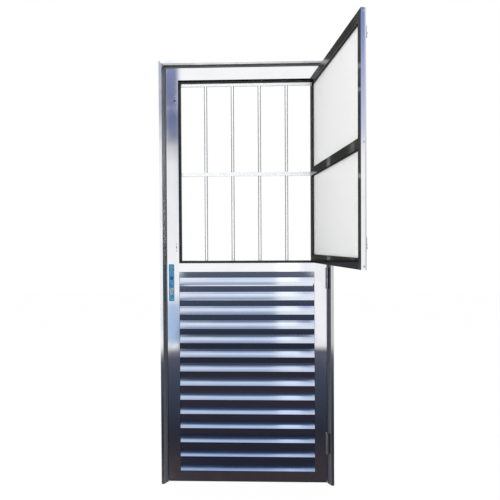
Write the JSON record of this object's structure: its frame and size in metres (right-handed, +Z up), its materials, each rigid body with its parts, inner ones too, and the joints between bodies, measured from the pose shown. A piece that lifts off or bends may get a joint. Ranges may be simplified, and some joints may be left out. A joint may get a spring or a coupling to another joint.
{
  "type": "aluminium front door",
  "caption": "Polished aluminium front door in its frame: louvred lower panel, barred upper opening and a glazed hatch sash that stands open.",
  "frame": {"origin": "on the floor at mid width, in the plane of the frame's room-side flange", "axes": "+X to the hinge side seen from the room, +Y from the room to the street, +Z up"},
  "size_m": [0.8807, 0.7207, 2.1095],
  "materials": {
    "polished_aluminium": "polished",
    "plank_aluminium": "polished",
    "cast_aluminium": "satin",
    "black_rubber": "matte",
    "frosted_glass": "textured",
    "plated_steel": "zinc plated",
    "satin_brass": "satin",
    "blue_film": "glossy film"
  },
  "bodies": {
    "frame": {"frame_jamb_lock": "polished_aluminium", "frame_jamb_hinge": "polished_aluminium", "frame_head": "polished_aluminium", "frame_corner_keys": "polished_aluminium", "frame_seals": "black_rubber", "strike_plate": "plated_steel", "hinge_frame_plates": "polished_aluminium", "hinge_pins": "plated_steel"},
    "leaf": {"leaf_stile_lock": "polished_aluminium", "leaf_stile_hinge": "polished_aluminium", "leaf_top_rail": "polished_aluminium", "leaf_mid_rail": "polished_aluminium", "leaf_bottom_rail": "polished_aluminium", "plank_01": "plank_aluminium", "plank_02": "plank_aluminium", "plank_03": "plank_aluminium", "plank_04": "plank_aluminium", "plank_05": "plank_aluminium", "plank_06": "plank_aluminium", "plank_07": "plank_aluminium", "plank_08": "plank_aluminium", "plank_09": "plank_aluminium", "plank_10": "plank_aluminium", "plank_11": "plank_aluminium", "plank_12": "plank_aluminium", "plank_13": "plank_aluminium", "plank_14": "plank_aluminium", "leaf_screws": "plated_steel", "hinge_leaf_plates": "polished_aluminium", "grille_frame": "polished_aluminium", "grille_bars": "polished_aluminium", "grille_cross_bar": "polished_aluminium", "opening_gasket": "black_rubber", "lock_case": "plated_steel", "lock_face_plate": "plated_steel", "lock_plate_room": "polished_aluminium", "lock_plate_street": "polished_aluminium", "lock_plate_film": "blue_film", "lock_cylinder": "satin_brass", "catch_keepers": "cast_aluminium", "sash_hinge_leaf_plates": "polished_aluminium", "sash_hinge_pins": "plated_steel"},
    "sash": {"sash_stile_free": "polished_aluminium", "sash_stile_hinge": "polished_aluminium", "sash_top_rail": "polished_aluminium", "sash_mid_rail": "polished_aluminium", "sash_bottom_rail": "polished_aluminium", "sash_pane_upper": "frosted_glass", "sash_pane_lower": "frosted_glass", "sash_gaskets": "black_rubber", "sash_screws": "plated_steel", "sash_hinge_sash_plates": "polished_aluminium", "catch_bases": "cast_aluminium"},
    "latch": {"latch_bolt": "plated_steel"},
    "deadbolt": {"dead_bolt": "plated_steel"},
    "follower": {"spindle_follower": "plated_steel"},
    "plug": {"cylinder_plug": "satin_brass"},
    "upper_catch": {"catch_lever_upper": "cast_aluminium"},
    "lower_catch": {"catch_lever_lower": "cast_aluminium"}
  },
  "joints": [
    {"name": "leaf_swing", "type": "hinge", "parent": "frame", "child": "leaf", "pos_m": [0.399, 0.0137, 0], "axis": [0, 0, 1], "range_deg": [0, 100]},
    {"name": "sash_swing", "type": "hinge", "parent": "leaf", "child": "sash", "pos_m": [0.3388, 0.0157, 0], "axis": [0, 0, 1], "range_deg": [-99, 15]},
    {"name": "follower_turn", "type": "hinge", "parent": "leaf", "child": "follower", "pos_m": [-0.3765, 0.036, 1.03], "axis": [0, 1, 0], "range_deg": [-45, 0]},
    {"name": "latch_slide", "type": "slide", "parent": "leaf", "child": "latch", "axis": [-1, 0, 0], "range_m": [0, 0.012]},
    {"name": "cylinder_turn", "type": "hinge", "parent": "leaf", "child": "plug", "pos_m": [-0.3765, 0.036, 0.9715], "axis": [0, 1, 0], "range_deg": [0, 360]},
    {"name": "dead_bolt_slide", "type": "slide", "parent": "leaf", "child": "deadbolt", "axis": [-1, 0, 0], "range_m": [0, 0.02]},
    {"name": "upper_catch_turn", "type": "hinge", "parent": "sash", "child": "upper_catch", "pos_m": [0.44241, -0.6344, 1.921], "axis": [0.9877, 0.1564, 0], "range_deg": [0, 90]},
    {"name": "lower_catch_turn", "type": "hinge", "parent": "sash", "child": "lower_catch", "pos_m": [0.44241, -0.6344, 1.1844], "axis": [0.9877, 0.1564, 0], "range_deg": [0, 90]}
  ],
  "couplings": [
    {"joint": "latch_slide", "follows": "follower_turn", "m_per_rad": -0.015279},
    {"joint": "cylinder_turn", "follows": "dead_bolt_slide", "rad_per_m": 314.16}
  ]
}
